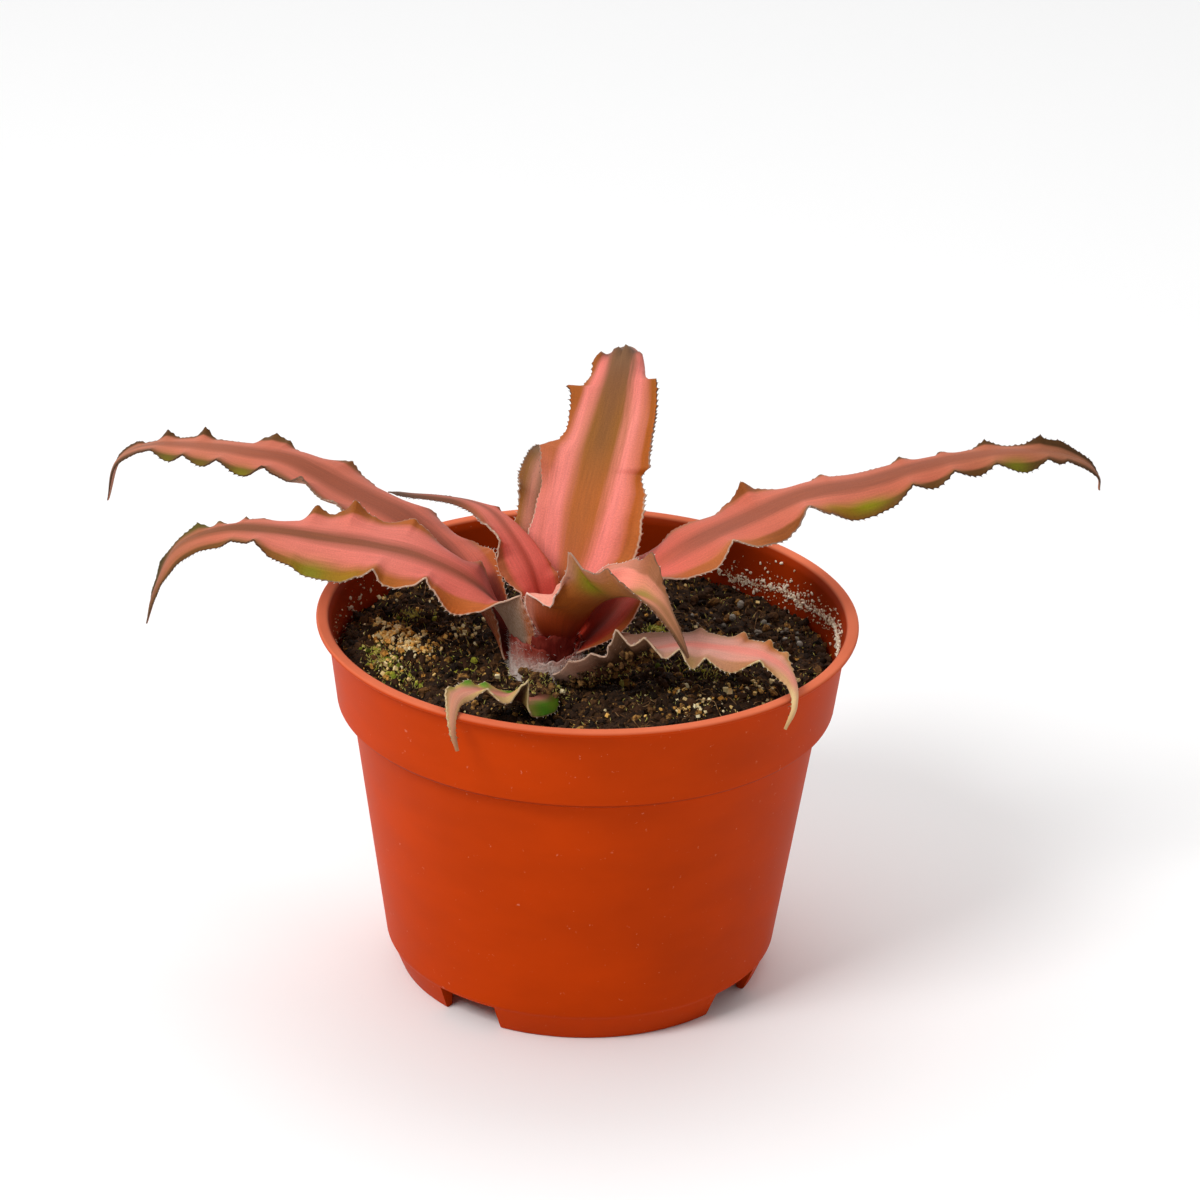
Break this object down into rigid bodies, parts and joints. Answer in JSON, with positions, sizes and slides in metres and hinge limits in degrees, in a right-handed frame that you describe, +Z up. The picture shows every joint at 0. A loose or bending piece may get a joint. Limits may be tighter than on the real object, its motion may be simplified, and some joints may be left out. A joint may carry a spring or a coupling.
{
  "type": "potted earth star",
  "caption": "Earth star houseplant: a low rosette of striped, wavy, fine-toothed leaves in a round plastic nursery pot filled with soil.",
  "frame": {"origin": "on the pot's axis, at the surface that the pot stands on", "axes": "+Z up, -Y towards the front of the plant, +X to its right, along the spread of its longest leaves"},
  "size_m": [0.2038, 0.108, 0.1174],
  "materials": {
    "pot_plastic": "satin",
    "soil": "matte",
    "crown": "matte",
    "leaf": "satin"
  },
  "bodies": {
    "root": {"pot": "pot_plastic", "soil": "soil", "crown": "crown", "leaf_back": "leaf", "leaf_back_left": "leaf", "leaf_left_upper": "leaf", "leaf_left_lower": "leaf", "leaf_left_inner": "leaf", "leaf_right": "leaf", "leaf_front": "leaf", "leaf_right_low": "leaf", "leaf_front_low": "leaf"}
  },
  "joints": []
}
